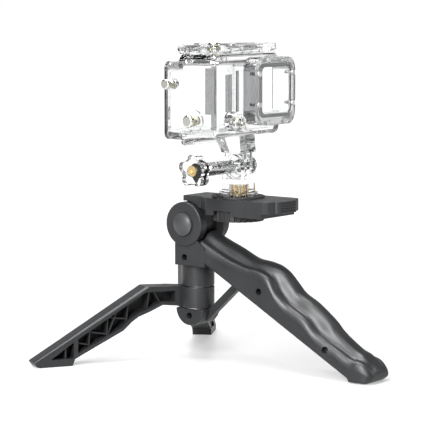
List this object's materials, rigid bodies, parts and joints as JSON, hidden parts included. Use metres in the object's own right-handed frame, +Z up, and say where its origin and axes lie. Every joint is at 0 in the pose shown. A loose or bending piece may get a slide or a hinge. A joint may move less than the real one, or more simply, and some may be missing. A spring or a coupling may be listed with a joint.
{
  "type": "action camera housing on a grip tripod",
  "caption": "Clear waterproof action-camera housing with hinged back and latch, on a pronged thumbscrew mount and a folding black grip tripod with tilting head.",
  "frame": {"origin": "middle of the footprint, on the floor", "axes": "+Z up, lens towards -Y, +X is the lens side of the housing"},
  "size_m": [0.185, 0.206, 0.2013],
  "materials": {
    "black_plastic": "fine moulded grain, satin black",
    "black_wheel": "matt black",
    "black_button": "satin dark grey",
    "black_rubber": "matt rubber",
    "steel": "zinc plated",
    "brass": "turned brass",
    "clear_plastic": "clear polycarbonate, polished",
    "window_glass": "flat clear glass",
    "silicone": "translucent white silicone",
    "button_metal": "polished stainless",
    "spring_steel": "drawn spring wire"
  },
  "bodies": {
    "grip_body": {"grip_left_half": "black_plastic", "grip_right_half": "black_plastic", "shell_screws": "steel", "leg_axle": "steel", "friction_washers": "steel", "tilt_axle": "steel", "tilt_lock_spring": "spring_steel"},
    "tilt_lock": {"tilt_lock_button": "black_button"},
    "left_leg": {"left_leg": "black_plastic", "left_knuckle": "black_plastic"},
    "right_leg": {"right_leg": "black_plastic", "right_knuckle": "black_plastic"},
    "head": {"platform": "black_plastic", "detent_ring": "steel", "rubber_pad": "black_rubber"},
    "clamp": {"clamp_wheel": "black_wheel", "camera_screw": "steel"},
    "adapter": {"mount_adapter": "clear_plastic", "threaded_insert": "brass", "pivot_nut": "steel"},
    "thumbscrew": {"thumbscrew_knob": "clear_plastic", "thumbscrew_bolt": "steel", "knob_insert": "brass"},
    "housing": {"front_shell": "clear_plastic", "lens_frame": "clear_plastic", "lens_window": "window_glass", "lens_gasket": "silicone", "lens_screws": "steel", "latch_pin": "steel", "door_hinge_pin": "steel", "button_seals": "silicone", "shutter_spring": "spring_steel", "mode_spring": "spring_steel", "lower_side_spring": "spring_steel", "upper_side_spring": "spring_steel"},
    "door": {"back_door": "clear_plastic", "door_gasket": "silicone"},
    "latch": {"latch_lever": "clear_plastic", "hook_pin": "steel"},
    "hook": {"latch_hook": "clear_plastic"},
    "shutter": {"shutter_button": "button_metal", "shutter_clip": "spring_steel"},
    "mode": {"mode_button": "clear_plastic", "mode_clip": "spring_steel"},
    "lower_side": {"lower_side_button": "button_metal", "lower_side_clip": "spring_steel"},
    "upper_side": {"upper_side_button": "button_metal", "upper_side_clip": "spring_steel"}
  },
  "joints": [
    {"name": "left_leg_swing", "type": "hinge", "parent": "grip_body", "child": "left_leg", "pos_m": [0, 0.03546, 0.0395], "axis": [0, 0, 1], "range_deg": [0, 120]},
    {"name": "right_leg_swing", "type": "hinge", "parent": "grip_body", "child": "right_leg", "pos_m": [0, 0.03546, 0.0535], "axis": [0, 0, 1], "range_deg": [-120, 0]},
    {"name": "head_tilt", "type": "hinge", "parent": "grip_body", "child": "head", "pos_m": [0, 0.03546, 0.087], "axis": [1, 0, 0], "range_deg": [-90, 0]},
    {"name": "tilt_lock_press", "type": "slide", "parent": "grip_body", "child": "tilt_lock", "axis": [1, 0, 0], "range_m": [0, 0.002], "stiffness_N_per_m": 900, "springref_m": -0.0015, "deforming": ["tilt_lock_spring"]},
    {"name": "clamp_wheel_turn", "type": "hinge", "parent": "head", "child": "clamp", "pos_m": [0, 0.00346, 0.105], "axis": [0, 0, 1], "continuous": true},
    {"name": "mount_pan", "type": "hinge", "parent": "head", "child": "adapter", "pos_m": [0, 0.00346, 0.106], "axis": [0, 0, 1], "continuous": true},
    {"name": "thumbscrew_turn", "type": "hinge", "parent": "adapter", "child": "thumbscrew", "pos_m": [0, 0.00346, 0.1245], "axis": [-1, 0, 0], "continuous": true},
    {"name": "camera_tilt", "type": "hinge", "parent": "adapter", "child": "housing", "pos_m": [0, 0.00346, 0.1245], "axis": [1, 0, 0], "range_deg": [-45, 75]},
    {"name": "door_swing", "type": "hinge", "parent": "housing", "child": "door", "pos_m": [0, 0.03076, 0.1392], "axis": [-1, 0, 0], "range_deg": [0, 100]},
    {"name": "latch_lift", "type": "hinge", "parent": "housing", "child": "latch", "pos_m": [0, 0.02176, 0.1973], "axis": [-1, 0, 0], "range_deg": [0, 100]},
    {"name": "hook_release", "type": "hinge", "parent": "latch", "child": "hook", "pos_m": [0, 0.01626, 0.1981], "axis": [-1, 0, 0], "range_deg": [-100, 0]},
    {"name": "shutter_press", "type": "slide", "parent": "housing", "child": "shutter", "axis": [0, 0, -1], "range_m": [0, 0.0016], "stiffness_N_per_m": 700, "springref_m": -0.001, "deforming": ["shutter_spring"]},
    {"name": "mode_press", "type": "slide", "parent": "housing", "child": "mode", "axis": [0, 1, 0], "range_m": [0, 0.0016], "stiffness_N_per_m": 700, "springref_m": -0.001, "deforming": ["mode_spring"]},
    {"name": "lower_side_press", "type": "slide", "parent": "housing", "child": "lower_side", "axis": [1, 0, 0], "range_m": [0, 0.0016], "stiffness_N_per_m": 700, "springref_m": -0.001, "deforming": ["lower_side_spring"]},
    {"name": "upper_side_press", "type": "slide", "parent": "housing", "child": "upper_side", "axis": [1, 0, 0], "range_m": [0, 0.0016], "stiffness_N_per_m": 700, "springref_m": -0.001, "deforming": ["upper_side_spring"]}
  ],
  "couplings": [
    {"joint": "hook_release", "follows": "latch_lift", "ratio": -1}
  ]
}
